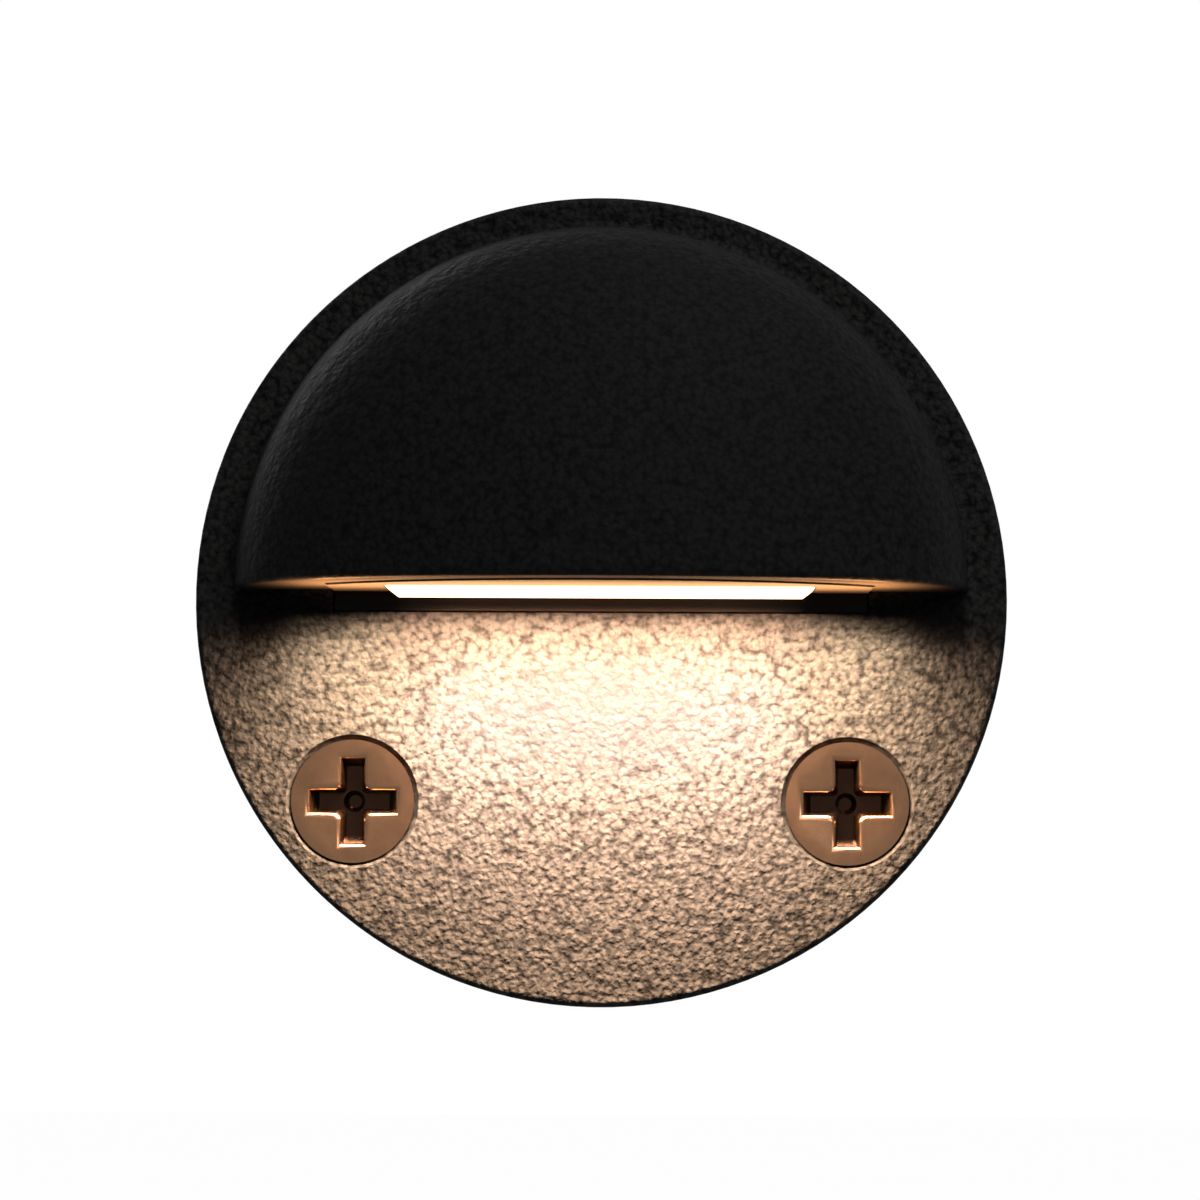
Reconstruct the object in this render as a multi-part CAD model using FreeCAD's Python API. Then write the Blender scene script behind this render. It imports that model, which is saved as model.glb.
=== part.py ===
"""A round deck light: a cast disc with a half-dome hood over a lit strip that throws its light down.

The disc's flat back lies on the wall at Y = 0 and the light faces -Y, with +Z up.
The origin is the centre of the disc's back. All sizes are in millimetres.
"""

import FreeCAD, Part
import math
import os

from FreeCAD import Vector

# Casting: the disc
disc_radius = 31.75
disc_thickness = 4.0
disc_edge_radius = 0.5

# Casting: the hood, a half dome standing on the disc
hood_margin = 3.15
hood_depth = 16.5
hood_base_height = 0.65
hood_side_wall = 3.0
hood_front_wall = 1.8
hood_lip_radius = 0.5
hood_root_radius = 0.6

# Casting: the floor under the hood and the half-moon window in it
floor_thickness = 1.0
window_lip = 1.0
window_end_web = 4.65
apron_drop = 1.75

# Casting: back pocket for the cover
cover_thickness = 1.8
cover_inset = 0.3
cover_ledge = 2.6
cover_corner_radius = 1.5
cover_clearance = 0.15

# Casting: screw bosses inside the hood
boss_radius = 2.2
boss_hole_depth = 5.5
side_boss_height = 3.4
side_boss_inset = 1.9
top_boss_inset = 3.0

# Casting: coring in the lower back
core_depth = 2.0
core_rim = 3.6
core_gap = 2.0
core_rib = 2.0
core_screw_boss_radius = 6.4

# Back cover gasket, in a groove in the ledge
cover_gasket_width = 1.0
cover_gasket_depth = 0.8
groove_clearance = 0.1

# Wall gasket, in a groove round the back
wall_gasket_inset = 1.0
wall_gasket_width = 1.2
wall_gasket_thickness = 1.0

# Mounting screws, number 10 flat head wood screws with a cross recess
screw_rim_distance = 6.79
screw_angle = 39.47
screw_head_radius = 4.8
screw_head_land = 0.3
screw_head_angle = 82.0
screw_head_sink = 0.1
screw_neck_radius = 2.2
screw_thread_radius = 2.4
screw_root_radius = 1.62
screw_shank_length = 9.0
screw_pitch = 1.95
screw_crest_share = 0.6
screw_flank_share = 0.26
screw_length = 31.8
screw_point_length = 5.0
screw_tip_radius = 0.2
screw_hole_radius = 2.65
screw_seat_clearance = 0.1
screw_seat_chamfer = 0.28
recess_half_span = 3.42
recess_half_wing = 0.9
recess_corner_radius = 0.65
recess_foot_half_span = 2.75
recess_foot_half_wing = 0.6
recess_foot_corner_radius = 0.45
recess_depth = 1.9
recess_core_radius = 1.5
recess_core_foot_radius = 0.5
recess_core_depth = 2.9

# Lens frame, the half-moon plate that closes the hood's underside
frame_clearance = 0.15
frame_drop = 0.15
frame_flange = 1.0
frame_lens_shelf = 1.1
standoff_radius = 1.6
standoff_stud_length = 1.4
apron_setback = 0.2
apron_rear_gap = 0.2

# Lens, its gasket and the light box above it
lens_end_margin = 4.4
lens_rear_margin = 1.6
lens_front_margin = 2.4
lens_corner_radius = 0.8
lens_flange_width = 0.8
lens_flange_thickness = 1.0
lens_drop = 0.55
lens_bevel = 0.75
lens_edge_radius = 0.12
lens_clearance = 0.1
lens_gasket_thickness = 0.5
light_box_top_share = 0.27
reflector_wall = 0.8
reflector_mouth_half = 2.2

# Light-emitting board
led_board_thickness = 1.2
led_length = 3.5
led_width = 2.8
led_height = 0.7
led_pitch = 5.2
led_phosphor_margin = 0.5
led_phosphor_depth = 0.3
led_end_margin = 3.0
led_wall_gap = 0.2
thermal_pad_thickness = 0.5

# Carrier, the bent plate that holds the boards and takes their heat to the casting
carrier_thickness = 1.8
carrier_wall_gap = 0.4
ear_thickness = 1.4
ear_width = 4.3
ear_top_margin = 3.6
ear_boss_radius = 2.0
ear_boss_inset = 2.0
ear_boss_wall_inset = 2.04
ear_setback = 0.2
tab_inset = 2.3
tab_width = 4.0
tab_thickness = 1.4
lead_slot_end_gap = 0.55
lead_slot_depth = 2.0

# Driver board
driver_board_thickness = 1.2
driver_board_gap = 0.5
driver_board_end_gap = 1.2
driver_board_rim = 2.2
driver_board_notch = 0.8
driver_screw_height_share = 0.2775

# What is soldered to the driver board, as shares: its place and its size, across the half bay between the two
# screws and up the board's height, and its depth as a share of the room between the board and the hood
rectifier_shares = (-0.51, 0.625, 0.41, 0.375, 0.85)
inductor_shares = (0.51, 0.575, 0.42, 0.44, 0.85)
diode_shares = (0.0, 0.64, 0.37, 0.25, 0.5)
driver_chip_shares = (0.52, 0.172, 0.34, 0.287, 0.26)
capacitor_shares = (-0.52, 0.22, 0.37, 0.4, 0.86)
resistor_shares = (0.86, 0.115, 0.17, 0.115, 0.12)
connector_shares = (0.0, 0.287, 0.56, 0.287, 0.32)
resistor_pitch_share = 0.175
inductor_core_share = 0.8
inductor_groove_share = 0.25
capacitor_foot_share = 0.16
capacitor_can_share = 0.95
lead_place_share = 0.39

# Small machine screws
small_screw_radius = 1.0
small_head_radius = 1.8
small_head_height = 1.2
small_screw_clearance = 0.1
small_flat_head_height = 0.9
cover_screw_length = 6.0
ear_screw_length = 5.0
standoff_screw_length = 4.0
driver_screw_tip = 2.0
small_socket_radius = 0.75
small_socket_depth = 0.6

# Leads from the driver board to the light-emitting board
lead_radius = 0.6
lead_inset = 0.9
lead_board_gap = 0.49

# Cable gland in the back cover: body, locknut, rubber insert, cap and washer
gland_boss_gap = 0.6
gland_bore_radius = 2.6
gland_neck_radius = 3.8
gland_neck_length = 2.0
gland_flange_wall = 1.4
gland_flange_thickness = 2.4
gland_mouth_radius = 3.2
gland_mouth_depth = 3.4
gland_tail_length = 4.4
gland_insert_radius = 2.3
gland_insert_length = 4.0
gland_cap_socket_wall = 1.1
gland_cap_gap = 0.4
gland_cap_length = 4.0
gland_cap_dome = 2.0
gland_cap_wall = 0.9
gland_locknut_wall = 1.2
gland_locknut_thickness = 1.6
gland_washer_width = 1.4
gland_washer_thickness = 0.6
gland_clearance = 0.1

# Six-sided nuts
hex_sides = 6
hex_ease_share = 0.9

# One overrun for every cut that has to run past a face
overrun = 1.0

# Planes and sizes that follow from the driving dimensions
front_y = -disc_thickness
hood_radius = disc_radius - hood_margin
cavity_radius = hood_radius - hood_side_wall
cavity_depth = hood_depth - hood_front_wall
ledge_y = -(cover_inset + cover_thickness)
window_half = cavity_radius - window_end_web
frame_half = window_half - frame_clearance
window_radius = cavity_radius - window_lip
window_depth = cavity_depth - window_lip
lens_flange_half = frame_half - lens_end_margin + lens_flange_width
lens_half = lens_flange_half - lens_flange_width
side_boss_radius = cavity_radius - side_boss_inset
side_boss_x = math.sqrt(side_boss_radius**2 - side_boss_height**2)
flange_top = floor_thickness + frame_flange
shelf_height = flange_top - frame_lens_shelf
lens_flange_base = shelf_height + lens_gasket_thickness
lens_flange_top = lens_flange_base + lens_flange_thickness
reflector_top = light_box_top_share * cavity_radius
board_top = reflector_top + led_board_thickness
pad_top = board_top + thermal_pad_thickness
carrier_top = pad_top + carrier_thickness
standoff_x = (lens_flange_half + frame_half) / 2
driver_base = carrier_top + driver_board_gap
ear_boss_x = frame_half - ear_boss_inset
ear_screw_height = math.sqrt((cavity_radius - ear_boss_wall_inset) ** 2 - ear_boss_x**2)
driver_half_width = ear_boss_x - ear_boss_radius - driver_board_end_gap
tab_x = driver_half_width - tab_inset
driver_bay = tab_x - small_head_radius
gland_locknut_half = gland_neck_radius + gland_locknut_wall
gland_height = cavity_radius - top_boss_inset - boss_radius - gland_boss_gap - gland_locknut_half


def ahead(distance):
    """Y of a point that stands this far in front of the disc's face."""
    return front_y - distance


def up(height):
    """Z of a point at this height above the hood's flat underside."""
    return hood_base_height + height


def depth_inside(radius, depth, x):
    """How far forward a half ellipse reaches at x."""
    return depth * math.sqrt(1 - (x / radius) ** 2)


lens_front = depth_inside(window_radius, window_depth, lens_flange_half) - lens_front_margin
lens_middle = (lens_rear_margin + lens_front) / 2
lead_y = ahead(lens_front - lead_inset)
driver_front = lens_front - lead_inset - lead_radius - lead_board_gap
tab_front = driver_front - driver_board_thickness
driver_board_radius = cavity_radius * math.sqrt(1 - (driver_front / cavity_depth) ** 2) - driver_board_rim
driver_board_height = driver_board_radius - driver_base
driver_screw_height = driver_base + driver_screw_height_share * driver_board_height
lead_x = lead_place_share * connector_shares[2] / 2 * driver_bay


def block(low, high):
    """A box between two opposite corners."""
    size = high.sub(low)
    return Part.makeBox(size.x, size.y, size.z, low)


def rod(radius, x, z, y_from, y_to):
    """A cylinder along Y at this X and Z."""
    low = min(y_from, y_to)
    return Part.makeCylinder(radius, abs(y_to - y_from), Vector(x, low, z), Vector(0, 1, 0))


def taper(radius_low, radius_high, x, z, y_low, y_high):
    """A cone along Y, with its radius at each end."""
    return Part.makeCone(radius_low, radius_high, y_high - y_low, Vector(x, y_low, z), Vector(0, 1, 0))


def fused(shapes):
    """Several solids joined into one."""
    first, *rest = shapes
    return first.fuse(rest).removeSplitter() if rest else first


def one_solid(shape):
    """The single solid that a boolean result holds."""
    return shape.Solids[0]


def dome(radius, depth, y_back):
    """A half dome: a quarter ellipse turned through half a turn, run back to y_back."""
    pole = Vector(0, ahead(depth), up(0))
    rim = Vector(radius, front_y, up(0))
    centre = Vector(0, front_y, up(0))
    long_end, short_end = (rim, pole) if radius >= depth else (pole, rim)
    ellipse = Part.Ellipse(long_end, short_end, centre)
    edge = Part.ArcOfEllipse(ellipse, 0, math.pi / 2).toBSpline().toShape()
    back_rim = Vector(radius, y_back, up(0))
    back_centre = Vector(0, y_back, up(0))
    sides = [
        Part.LineSegment(rim, back_rim).toShape(),
        Part.LineSegment(back_rim, back_centre).toShape(),
        Part.LineSegment(back_centre, pole).toShape(),
    ]
    wire = Part.Wire(Part.__sortEdges__([edge] + sides))
    return Part.Face(wire).revolve(back_centre, Vector(0, -1, 0), 180)


def half_moon_plate(radius, depth, half_width, z_low, z_high):
    """A flat plate in front of the disc's face: a half ellipse, cut off straight at both ends."""
    rim_left = Vector(-radius, front_y, z_low)
    rim_right = Vector(radius, front_y, z_low)
    pole = Vector(0, ahead(depth), z_low)
    centre = Vector(0, front_y, z_low)
    ellipse = Part.Ellipse(rim_right, pole, centre)
    edge = Part.ArcOfEllipse(ellipse, 0, math.pi).toShape()
    wire = Part.Wire(Part.__sortEdges__([edge, Part.LineSegment(rim_left, rim_right).toShape()]))
    plate = Part.Face(wire).extrude(Vector(0, 0, z_high - z_low))
    middle = block(Vector(-half_width, ahead(depth + overrun), z_low), Vector(half_width, front_y, z_high))
    return one_solid(plate.common(middle))


def half_moon_slab(radius, chord_height, y_back, y_front, corner_radius):
    """A slab across Y: a circle about the hood's centre, cut off straight and rounded at its foot."""
    slab = rod(radius, 0, up(0), y_front, y_back)
    foot = block(Vector(-radius, y_front, up(-radius)), Vector(radius, y_back, up(chord_height)))
    slab = one_solid(slab.cut(foot))
    corners = [
        edge
        for edge in slab.Edges
        if abs(edge.Vertexes[0].Z - edge.Vertexes[-1].Z) < corner_radius / 2
        and abs(edge.Vertexes[0].Z - up(chord_height)) < corner_radius / 2
        and abs(edge.Vertexes[0].Y - edge.Vertexes[-1].Y) > (y_back - y_front) / 2
    ]
    return slab.makeFillet(corner_radius, corners)


def rounded_block(half_x, y_back, y_front, z_low, z_high, corner_radius):
    """A block with its four upright edges rounded."""
    plain = block(Vector(-half_x, y_front, z_low), Vector(half_x, y_back, z_high))
    half_height = (z_high - z_low) / 2
    upright = [edge for edge in plain.Edges if abs(edge.Vertexes[0].Z - edge.Vertexes[-1].Z) > half_height]
    return plain.makeFillet(corner_radius, upright)


def cover_screw_places():
    """X and Z of the three screws that hold the back cover."""
    return [
        (-side_boss_x, up(side_boss_height)),
        (side_boss_x, up(side_boss_height)),
        (0, up(cavity_radius - top_boss_inset)),
    ]


def ear_screw_places():
    """X and Z of the two screws that hold the carrier."""
    return [(side * ear_boss_x, up(ear_screw_height)) for side in (-1, 1)]


def driver_screw_places():
    """X and Z of the two screws that hold the driver board."""
    return [(side * tab_x, up(driver_screw_height)) for side in (-1, 1)]


def mounting_screw_places():
    """X and Z of the two screws that hold the light on the wall."""
    ring = disc_radius - screw_rim_distance
    angle = math.radians(screw_angle)
    return [(side * ring * math.cos(angle), -ring * math.sin(angle)) for side in (-1, 1)]


def disc_blank():
    """The disc, turned from a profile with a rounded front edge."""
    back_edge = Vector(disc_radius, 0, 0)
    side_end = Vector(disc_radius, front_y + disc_edge_radius, 0)
    face_end = Vector(disc_radius - disc_edge_radius, front_y, 0)
    round_centre = Vector(disc_radius - disc_edge_radius, front_y + disc_edge_radius, 0)
    bulge = disc_edge_radius * math.sqrt(0.5)
    round_middle = round_centre.add(Vector(bulge, -bulge, 0))
    edges = [
        Part.LineSegment(Vector(0, 0, 0), back_edge).toShape(),
        Part.LineSegment(back_edge, side_end).toShape(),
        Part.Arc(side_end, round_middle, face_end).toShape(),
        Part.LineSegment(face_end, Vector(0, front_y, 0)).toShape(),
        Part.LineSegment(Vector(0, front_y, 0), Vector(0, 0, 0)).toShape(),
    ]
    return Part.Face(Part.Wire(edges)).revolve(Vector(0, 0, 0), Vector(0, 1, 0), 360)


def outer_form():
    """The disc and the solid hood on it, with the hood's foot and its brow rounded."""
    body = fused([disc_blank(), dome(hood_radius, hood_depth, front_y + disc_edge_radius)])
    root = []
    for edge in body.Edges:
        box = edge.BoundBox
        if box.YLength < hood_root_radius / 2 and box.ZMin > 0 and box.ZLength > hood_radius / 2:
            root.append(edge)
    body = body.makeFillet(hood_root_radius, root)
    lip = []
    for edge in body.Edges:
        box = edge.BoundBox
        if box.ZLength < hood_lip_radius / 2 and box.YLength > hood_depth / 2:
            lip.append(edge)
    return one_solid(body.makeFillet(hood_lip_radius, lip))


def cavity_form():
    """The casting's hollow: the dome's inside, the way in from the back and the window in the floor."""
    inside = dome(cavity_radius, cavity_depth, ledge_y)
    floor = block(
        Vector(-disc_radius, ahead(hood_depth), up(-overrun)),
        Vector(disc_radius, 0, up(floor_thickness)),
    )
    inside = one_solid(inside.cut(floor))
    window = half_moon_plate(window_radius, window_depth, window_half, up(-overrun), up(floor_thickness))
    slot = block(
        Vector(-window_half, front_y - overrun, up(-apron_drop)),
        Vector(window_half, ledge_y, up(floor_thickness)),
    )
    hollow = fused([inside, window, slot])
    bosses = [rod(boss_radius, x, z, ledge_y, ahead(cavity_depth)) for x, z in cover_screw_places()]
    bosses += [
        rod(ear_boss_radius, x, z, ahead(ear_setback + ear_thickness), ahead(cavity_depth))
        for x, z in ear_screw_places()
    ]
    return hollow.cut(bosses)


def cover_pocket(margin, y_back, y_front):
    """A half-moon slab for the back cover, its pocket or its gasket: this much wider than the way in."""
    chord = -apron_drop - margin
    corner = cover_corner_radius
    return half_moon_slab(cavity_radius + margin, chord, y_back, y_front, corner)


def gasket_ring(clearance, y_back, y_front):
    """The closed loop that the cover gasket follows, widened by a clearance on both sides."""
    middle = cover_ledge / 2
    half = cover_gasket_width / 2 + clearance
    outer = cover_pocket(middle + half, y_back, y_front)
    return outer.cut(cover_pocket(middle - half, y_back, y_front))


def core_pockets():
    """The hollows that lighten the lower back of the disc."""
    top = up(-apron_drop - cover_ledge - core_gap)
    radius = disc_radius - core_rim
    pocket = rod(radius, 0, 0, -core_depth, overrun)
    pocket = pocket.cut(block(Vector(-radius, -core_depth, top), Vector(radius, overrun, disc_radius)))
    walls = [rod(core_screw_boss_radius, x, z, -core_depth, overrun) for x, z in mounting_screw_places()]
    walls.append(block(Vector(-core_rib / 2, -core_depth, -disc_radius), Vector(core_rib / 2, overrun, top)))
    return pocket.cut(walls)


def screw_cone_depth(radius_wide, radius_narrow):
    """How deep a flat head's cone is between two radii."""
    return (radius_wide - radius_narrow) / math.tan(math.radians(screw_head_angle / 2))


def screw_seat(x, z):
    """The countersunk hole for a mounting screw, its mouth chamfered."""
    wide = screw_head_radius + screw_seat_clearance
    land_y = front_y + screw_head_sink + screw_head_land
    chamfer_y = front_y + screw_seat_chamfer
    foot_y = land_y + screw_cone_depth(wide, screw_hole_radius)
    return fused(
        [
            taper(wide + screw_seat_chamfer, wide, x, z, front_y, chamfer_y),
            rod(wide, x, z, front_y - overrun, land_y),
            taper(wide, screw_hole_radius, x, z, land_y, foot_y),
            rod(screw_hole_radius, x, z, front_y, overrun),
        ]
    )


def housing():
    """The casting: disc, hood, floor, bosses, pockets and screw seats in one piece."""
    body = outer_form().cut(cavity_form())
    body = body.cut(cover_pocket(cover_ledge, overrun, ledge_y))
    body = body.cut(gasket_ring(groove_clearance, ledge_y + overrun, ledge_y - cover_gasket_depth))
    groove_outer = disc_radius - wall_gasket_inset
    groove_inner = groove_outer - wall_gasket_width
    groove = rod(groove_outer + groove_clearance, 0, 0, -wall_gasket_thickness, overrun)
    groove = groove.cut(rod(groove_inner - groove_clearance, 0, 0, -wall_gasket_thickness, overrun))
    body = body.cut(groove)
    body = body.cut(core_pockets())
    body = body.cut([screw_seat(x, z) for x, z in mounting_screw_places()])
    hole = small_screw_radius + small_screw_clearance / 2
    body = body.cut([rod(hole, x, z, ledge_y, ledge_y - boss_hole_depth) for x, z in cover_screw_places()])
    ear_back = ahead(ear_setback + ear_thickness)
    body = body.cut([rod(hole, x, z, ear_back, ear_back - ear_screw_length) for x, z in ear_screw_places()])
    return one_solid(body)


def wall_gasket():
    """The foam ring that seals the disc's back to the wall."""
    outer = disc_radius - wall_gasket_inset
    ring = rod(outer, 0, 0, -wall_gasket_thickness, 0)
    return one_solid(ring.cut(rod(outer - wall_gasket_width, 0, 0, -wall_gasket_thickness, 0)))


def cross_outline(half_span, half_wing, corner_radius, y):
    """A cross across Y, with its four inner corners rounded."""
    inner = half_wing + corner_radius
    middle = inner - corner_radius * math.sqrt(0.5)
    edges = []
    for quarter in range(4):
        turn = quarter * math.pi / 2

        def place(u, v):
            return Vector(u * math.cos(turn) - v * math.sin(turn), y, u * math.sin(turn) + v * math.cos(turn))

        edges += [
            Part.LineSegment(place(half_span, -half_wing), place(half_span, half_wing)).toShape(),
            Part.LineSegment(place(half_span, half_wing), place(inner, half_wing)).toShape(),
            Part.Arc(place(inner, half_wing), place(middle, middle), place(half_wing, inner)).toShape(),
            Part.LineSegment(place(half_wing, inner), place(half_wing, half_span)).toShape(),
        ]
    return Part.Wire(edges)


def cross_recess(x, z, face_y):
    """The cross-shaped socket in a screw head: four tapered wings and a cone between them."""
    mouth = cross_outline(recess_half_span, recess_half_wing, recess_corner_radius, 0)
    foot = cross_outline(
        recess_foot_half_span, recess_foot_half_wing, recess_foot_corner_radius, recess_depth
    )
    wings = Part.makeLoft([mouth, foot], True, True)
    way_in = Part.Face(mouth).extrude(Vector(0, -overrun, 0))
    core = taper(recess_core_radius, recess_core_foot_radius, 0, 0, 0, recess_core_depth)
    socket = fused([wings, way_in, core])
    socket.translate(Vector(x, face_y, z))
    return socket


def thread_corner(x, z, radius, y, tip_y):
    """A corner of the thread's outline: its radius, which narrows to the tip's along the point."""
    share = min(1, (tip_y - y) / screw_point_length)
    return Vector(x + screw_tip_radius + (radius - screw_tip_radius) * share, y, z)


def screw_thread(x, z, tip_y):
    """A wood screw's plain shank and its thread, as rings, from the wall's face to the tip."""
    flank = screw_flank_share * screw_pitch
    outline = [
        Vector(x, 0, z),
        Vector(x + screw_thread_radius, 0, z),
        Vector(x + screw_thread_radius, screw_shank_length, z),
        thread_corner(x, z, screw_root_radius, screw_shank_length + flank, tip_y),
    ]
    crest_y = screw_shank_length + screw_crest_share * screw_pitch
    while crest_y + flank < tip_y:
        outline.append(thread_corner(x, z, screw_root_radius, crest_y - flank, tip_y))
        outline.append(thread_corner(x, z, screw_thread_radius, crest_y, tip_y))
        outline.append(thread_corner(x, z, screw_root_radius, crest_y + flank, tip_y))
        crest_y += screw_pitch
    outline += [Vector(x + screw_tip_radius, tip_y, z), Vector(x, tip_y, z), Vector(x, 0, z)]
    return Part.Face(Part.makePolygon(outline)).revolve(Vector(x, 0, z), Vector(0, 1, 0), 360)


def mounting_screw(x, z):
    """A flat head wood screw: its neck in the disc, and its shank and thread behind the wall's face."""
    face_y = front_y + screw_head_sink
    land_y = face_y + screw_head_land
    neck_y = land_y + screw_cone_depth(screw_head_radius, screw_neck_radius)
    body = fused(
        [
            rod(screw_head_radius, x, z, face_y, land_y),
            taper(screw_head_radius, screw_neck_radius, x, z, land_y, neck_y),
            rod(screw_neck_radius, x, z, neck_y, 0),
            screw_thread(x, z, face_y + screw_length),
        ]
    )
    return one_solid(body.cut(cross_recess(x, z, face_y)))


def lens_slot(margin, z_low, z_high):
    """A rounded slot on the lens's place, this much wider than the lens on every side."""
    return rounded_block(
        lens_half + margin,
        ahead(lens_rear_margin - margin),
        ahead(lens_front + margin),
        z_low,
        z_high,
        lens_corner_radius + margin,
    )


def standoff_places():
    """X and Y of the two standoffs on the lens frame."""
    return [(side * standoff_x, ahead(lens_middle)) for side in (-1, 1)]


def lens_frame():
    """The half-moon plate under the hood, with its apron in the disc's face."""
    plate = half_moon_plate(
        window_radius - frame_clearance,
        window_depth - frame_clearance,
        frame_half,
        up(-frame_drop),
        up(floor_thickness),
    )
    flange = half_moon_plate(
        cavity_radius - frame_clearance,
        cavity_depth - frame_clearance,
        frame_half,
        up(floor_thickness),
        up(flange_top),
    )
    apron = block(
        Vector(-frame_half, front_y + apron_setback, up(-apron_drop + frame_clearance)),
        Vector(frame_half, ledge_y - apron_rear_gap, up(flange_top)),
    )
    bridge = block(
        Vector(-frame_half, front_y, up(0) + frame_clearance),
        Vector(frame_half, front_y + apron_setback, up(flange_top)),
    )
    body = fused([plate, flange, apron, bridge])
    body = body.cut(lens_slot(lens_clearance, up(-frame_drop - overrun), up(flange_top + overrun)))
    shelf = lens_slot(lens_flange_width + lens_clearance, up(shelf_height), up(flange_top + overrun))
    body = body.cut(shelf)
    for x, y in standoff_places():
        foot = Vector(x, y, up(flange_top - standoff_stud_length))
        body = body.cut(Part.makeCylinder(small_screw_radius, standoff_stud_length, foot))
    return one_solid(body)


def standoffs():
    """The two pillars that carry the plate over the boards, each with a stud in the frame."""
    made = []
    for x, y in standoff_places():
        pillar = Part.makeCylinder(standoff_radius, pad_top - flange_top, Vector(x, y, up(flange_top)))
        stud_foot = Vector(x, y, up(flange_top - standoff_stud_length))
        stud = Part.makeCylinder(small_screw_radius, standoff_stud_length, stud_foot)
        thread_foot = Vector(x, y, up(pad_top - standoff_screw_length))
        hole = small_screw_radius + small_screw_clearance / 2
        thread = Part.makeCylinder(hole, standoff_screw_length, thread_foot)
        made.append(one_solid(fused([pillar, stud]).cut(thread)))
    return Part.makeCompound(made)


def lens():
    """The frosted light window: it stands out under the frame with slanted ends, and a flange holds it."""
    window = lens_slot(0, up(-frame_drop - lens_drop), up(lens_flange_top))
    top = up(lens_flange_top)
    shoulder = up(-frame_drop)
    foot = up(-frame_drop - lens_drop)
    outline = [
        Vector(-lens_half, ahead(lens_front), top),
        Vector(lens_half, ahead(lens_front), top),
        Vector(lens_half, ahead(lens_front), shoulder),
        Vector(lens_half - lens_bevel, ahead(lens_front), foot),
        Vector(-lens_half + lens_bevel, ahead(lens_front), foot),
        Vector(-lens_half, ahead(lens_front), shoulder),
    ]
    profile = Part.Face(Part.makePolygon(outline + outline[:1]))
    window = one_solid(window.common(profile.extrude(Vector(0, lens_front - lens_rear_margin, 0))))
    lower = [edge for edge in window.Edges if edge.BoundBox.ZMax < foot + lens_edge_radius / 2]
    window = window.makeFillet(lens_edge_radius, lower)
    flange = lens_slot(lens_flange_width, up(lens_flange_base), up(lens_flange_top))
    return one_solid(fused([window, flange]))


def lens_gasket():
    """The silicone ring between the lens's flange and the frame."""
    ring = lens_slot(lens_flange_width, up(shelf_height), up(lens_flange_base))
    return one_solid(ring.cut(lens_slot(lens_clearance, up(shelf_height), up(lens_flange_base))))


def reflector():
    """The white light box: a tapered shaft from the board's mouth down to the lens."""
    y_back = ahead(lens_rear_margin - lens_flange_width)
    y_front = ahead(lens_front + lens_flange_width)
    outer = block(
        Vector(-lens_flange_half, y_front, up(lens_flange_top)),
        Vector(lens_flange_half, y_back, up(reflector_top)),
    )

    def opening(half_x, y_low, y_high, z):
        points = [
            Vector(-half_x, y_low, z),
            Vector(half_x, y_low, z),
            Vector(half_x, y_high, z),
            Vector(-half_x, y_high, z),
        ]
        return Part.makePolygon(points + points[:1])

    foot = opening(
        lens_flange_half - reflector_wall,
        y_front + reflector_wall,
        y_back - reflector_wall,
        up(lens_flange_top),
    )
    mouth = opening(
        led_places()[-1] + led_length / 2 + led_wall_gap,
        ahead(lens_middle + reflector_mouth_half),
        ahead(lens_middle - reflector_mouth_half),
        up(reflector_top),
    )
    return one_solid(outer.cut(Part.makeLoft([foot, mouth], True, True)))


def lead_places():
    """X of the two leads that feed the light-emitting board."""
    return [side * lead_x for side in (-1, 1)]


def led_board():
    """The metal-core board that lies on the light box, its parts facing down."""
    board = block(
        Vector(-lens_flange_half, ahead(lens_front), up(reflector_top)),
        Vector(lens_flange_half, ahead(lens_rear_margin), up(board_top)),
    )
    return one_solid(board)


def led_places():
    """X of each light-emitting package, as many as the board has room for."""
    room = 2 * (lens_half - led_end_margin)
    gaps = max(1, int(room / led_pitch))
    return [(i - gaps / 2) * led_pitch for i in range(gaps + 1)]


def led_packages():
    """The light-emitting packages on the underside of the board, each with a well for its phosphor."""
    packages = []
    for x in led_places():
        body = block(
            Vector(x - led_length / 2, ahead(lens_middle + led_width / 2), up(reflector_top - led_height)),
            Vector(x + led_length / 2, ahead(lens_middle - led_width / 2), up(reflector_top)),
        )
        packages.append(one_solid(body.cut(phosphor_well(x))))
    return Part.makeCompound(packages)


def phosphor_well(x):
    """The shallow well that the phosphor fills in the package at x."""
    half_x = led_length / 2 - led_phosphor_margin
    half_y = led_width / 2 - led_phosphor_margin
    base = reflector_top - led_height
    return block(
        Vector(x - half_x, ahead(lens_middle + half_y), up(base)),
        Vector(x + half_x, ahead(lens_middle - half_y), up(base + led_phosphor_depth)),
    )


def led_phosphors():
    """The yellow phosphor in each package."""
    return Part.makeCompound([phosphor_well(x) for x in led_places()])


def lead_slot(z_low, z_high):
    """The slot that the leads pass through in the pad and the carrier."""
    half = lead_x + lead_radius + lead_slot_end_gap
    return block(
        Vector(-half, lead_y - lead_slot_depth / 2, z_low),
        Vector(half, lead_y + lead_slot_depth / 2, z_high),
    )


def thermal_pad():
    """The soft pad that takes heat from the board to the carrier."""
    pad = block(
        Vector(-lens_half, ahead(lens_front), up(board_top)),
        Vector(lens_half, ahead(lens_rear_margin), up(pad_top)),
    )
    return one_solid(pad.cut(lead_slot(up(board_top), up(pad_top))))


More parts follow.
